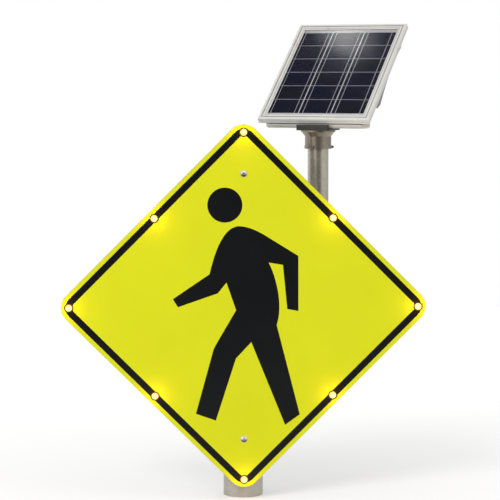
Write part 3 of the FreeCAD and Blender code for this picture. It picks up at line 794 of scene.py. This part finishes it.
def band_ribs():
    """The slanted thread pressed into each strap, which its worm screw runs in."""
    bm = bmesh.new()
    slanted = Matrix.Rotation(math.radians(RIB_SLANT), 4, "X")
    for name in ("band_clamp_upper", "band_clamp_lower"):
        low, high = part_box(name)
        radius = (high.x - low.x) / 2
        centre = Vector(((low.x + high.x) / 2, low.y + radius, (low.z + high.z) / 2))
        for i in range(RIB_COUNT):
            round_strap = Matrix.Rotation(math.radians(RIB_FIRST - i * RIB_STEP), 4, "Z")
            lay = Matrix.Translation(centre) @ round_strap @ Matrix.Translation((radius, 0, 0)) @ slanted
            add_box(bm, RIB_LOW, RIB_HIGH, lay)
    put_mesh("strap_threads", bm, BRIGHT_STEEL, SIGN)


# Stage

def white_floor():
    """White that keeps a shadow: where it is looked at or mirrored it is lifted, least near the post."""
    material = bpy.data.materials.new("floor_white")
    material.use_nodes = True
    tree = material.node_tree
    base = tree.nodes["Principled BSDF"]
    base.inputs["Base Color"].default_value = FLOOR_WHITE
    base.inputs["Roughness"].default_value = 0.9
    base.inputs["Specular IOR Level"].default_value = 0.0
    place = tree.nodes.new("ShaderNodeTexCoord")
    reach = vector_node(tree, "DISTANCE", place.outputs["Object"], (0, -FLOOR_BACK, 0))
    glow = tree.nodes.new("ShaderNodeEmission")
    lift = map_range(tree, reach, FLOOR_NEAR, FLOOR_FAR, FLOOR_NEAR_LIFT, FLOOR_FAR_LIFT)
    tree.links.new(lift, glow.inputs["Strength"])
    add = tree.nodes.new("ShaderNodeAddShader")
    tree.links.new(base.outputs["BSDF"], add.inputs[0])
    tree.links.new(glow.outputs["Emission"], add.inputs[1])
    kinds = ("Is Transmission Ray", "Is Glossy Ray", "Is Camera Ray")
    seen = [(kind, add.outputs["Shader"]) for kind in kinds]
    by_ray(tree, base.outputs["BSDF"], seen, "Material Output")
    return material


def studio():
    bm = bmesh.new()
    bmesh.ops.create_grid(bm, x_segments=1, y_segments=1, size=FLOOR_HALF)
    mesh = bpy.data.meshes.new("floor")
    bm.to_mesh(mesh)
    bm.free()
    mesh.materials.append(white_floor())
    floor = new_object("floor", mesh, (0, FLOOR_BACK, 0))
    world = bpy.data.worlds.new("studio")
    bpy.context.scene.world = world
    world.use_nodes = True
    tree = world.node_tree
    fill = tree.nodes["Background"]
    fill.inputs["Color"].default_value = FILL_COLOR
    fill.inputs["Strength"].default_value = FILL_LIGHT
    white = tree.nodes.new("ShaderNodeBackground")
    white.inputs["Color"].default_value = (1, 1, 1, 1)
    room = tree.nodes.new("ShaderNodeBackground")
    tree.links.new(room_light(tree), room.inputs["Color"])
    seen = [("Is Transmission Ray", white.outputs["Background"]),
            ("Is Glossy Ray", room.outputs["Background"]),
            ("Is Camera Ray", white.outputs["Background"])]
    by_ray(tree, fill.outputs["Background"], seen, "World Output")
    for name, place, target, size, watts in LAMPS:
        lamp(name, place, target, size, watts)


def room_light(tree):
    """What polished things mirror: white walls, a dark corner in front of the sign and a dim ceiling."""
    way = tree.nodes.new("ShaderNodeTexCoord").outputs["Generated"]
    split = tree.nodes.new("ShaderNodeSeparateXYZ")
    tree.links.new(way, split.inputs["Vector"])
    forward = math_node(tree, "MULTIPLY", split.outputs["Y"], -1.0)
    bearing = math_node(tree, "ARCTAN2", split.outputs["X"], forward)
    turns = math_node(tree, "ADD", math_node(tree, "MULTIPLY", bearing, 0.5 / math.pi), 0.5)
    walls = grey_ramp(tree, turns, [(0.5 + degrees / 360.0, value) for degrees, value in ROOM_WALLS])
    heights = grey_ramp(tree, math_node(tree, "MAXIMUM", split.outputs["Z"], 0.0), ROOM_HEIGHTS)
    room = vector_node(tree, "MULTIPLY", walls, heights)
    apart = vector_node(tree, "DISTANCE", way, CEILING_LAMP.normalized())
    shine = map_range(tree, apart, 0.0, CEILING_LAMP_SPREAD, CEILING_LAMP_LIGHT, 0.0, "SMOOTHSTEP")
    return vector_node(tree, "ADD", room, shine)


def lamp(name, place, target, size, watts):
    """A round lamp that lights things and isn't mirrored: the cover glass would turn blank white with it."""
    data = bpy.data.lights.new(name, "AREA")
    data.shape = "DISK"
    data.size = size
    data.energy = watts
    made = new_object(name, data, place)
    made.rotation_euler = (Vector(target) - Vector(place)).to_track_quat("-Z", "Y").to_euler()
    made.visible_glossy = False
    made.visible_transmission = False


def camera():
    data = bpy.data.cameras.new("camera")
    data.sensor_width = SENSOR_MM
    data.lens = CAMERA_FOCAL_PX / PHOTO_PX * SENSOR_MM
    data.clip_end = CAMERA_REACH
    eye = new_object("camera", data)
    place = Vector((0, PLATE_FRONT, PLATE_Z)) + CAMERA_FROM_PLATE
    aim = (Matrix.Rotation(math.radians(CAMERA_YAW), 4, "Z")
           @ Matrix.Rotation(math.radians(CAMERA_PITCH), 4, "X")
           @ Matrix.Rotation(math.radians(CAMERA_ROLL), 4, "Y"))
    eye.matrix_world = Matrix.Translation(place) @ aim @ Matrix.Rotation(math.radians(90), 4, "X")
    bpy.context.scene.camera = eye


# Surfaces that more than one step uses

YELLOW = sheeting()
INK = black_ink()
LENS = lit_lens()
BRIGHT_STEEL = bright_steel()
RIBBON = ribbon("tinned_ribbon", srgb(218, 218, 228))
WHITE_SHEET = white_sheet()
ROW_STRIP = ribbon("row_strip", srgb(186, 183, 199))
CELL_TONES = (silicon("cell_blue", srgb(6, 9, 38), srgb(12, 16, 54)),
              silicon("cell_violet", srgb(30, 26, 48), srgb(38, 34, 60)),
              silicon("cell_dark", srgb(9, 13, 32), srgb(15, 20, 44)))


# Surfaces of the CAD nodes

def dress(material, *names):
    for name in names:
        for slot in NODES[name].material_slots:
            slot.material = material


def like(start):
    return [name for name in NODES if name.startswith(start)]


def dress_nodes():
    dress(cast_metal("collar_casting", srgb(146, 137, 122), 0.30), "slip_fitter")
    dress(cast_metal("cast_alloy", srgb(150, 147, 138)), "post_cap", "mast_end_cap", *like("sign_bracket"))
    dress(cast_metal("dull_zinc", srgb(116, 113, 105)), "set_screws", "saddle_bolts")
    dress(galvanised("galvanised_post", srgb(192, 187, 177), 75.0, 0.45, 0.5), "main_post")
    dress(galvanised("galvanised_mast", srgb(190, 182, 166), 95.0, 0.28, 0.65, 0.02), "mast")
    dress(galvanised("zinc_plate", srgb(176, 178, 178), 160.0),
          *like("strut_"), *like("post_clamp"), *like("mast_clamp"))
    dress(mill_sheet("bare_plate", srgb(200, 201, 200), 0.42, 0.5), "sign_panel")
    dress(mill_sheet("channel_sheet", srgb(186, 188, 190), 0.40, 0.6), *like("wire_channel"))
    dress(mill_sheet("trough_sheet", srgb(206, 203, 194), 0.40, 0.35, (0.05, 1.0, 1.0)), "battery_trough")
    # Painted shade: the cradle's sheet is darkened to the grey of the shade it lies in behind the frame.
    dress(mill_sheet("cradle_sheet", srgb(148, 147, 143), 0.42, 0.6), "panel_cradle")
    # Partly painted shade: the saddle's dark grey is its own coat and also the shade under the trough.
    dress(powder_coat("dark_coat_painted_shade", srgb(52, 50, 46)), "head_saddle")
    dress(grooved_frame(), *like("frame_rail"))
    dress(BRIGHT_STEEL, *like("band_clamp"), "clamp_screws", "face_bolt_nuts", "clamp_bolts")
    # The washers' pale yellow is painted light round the face bolts.
    dress(washer_painted_yellow_light(), "face_washers")
    # The face bolts' domes get a painted white top and painted shade underneath.
    dress(dome_painted_shade(), "face_bolts")
    dress(moulded("black_moulding", srgb(30, 30, 31)), *like("led_body"), "harness_gland", "mast_gland")
    dress(moulded("black_rubber", srgb(22, 22, 22), 0.75), "trough_gasket", "wire_grommet")
    dress(moulded("cell_sleeve", srgb(40, 78, 130), 0.35), "battery_cells")
    dress(LENS, *like("led_lens"))
    dress(clear_glass(), "panel_glass")
    dress(WHITE_SHEET, "cell_sheet")
    dress(circuit_green(), "controller_board")


bpy.context.scene.view_settings.view_transform = "Standard"
dress_nodes()
print_plate()
walking_figure()
light_lenses()
solar_cells()
small_fasteners()
band_ribs()
studio()
camera()
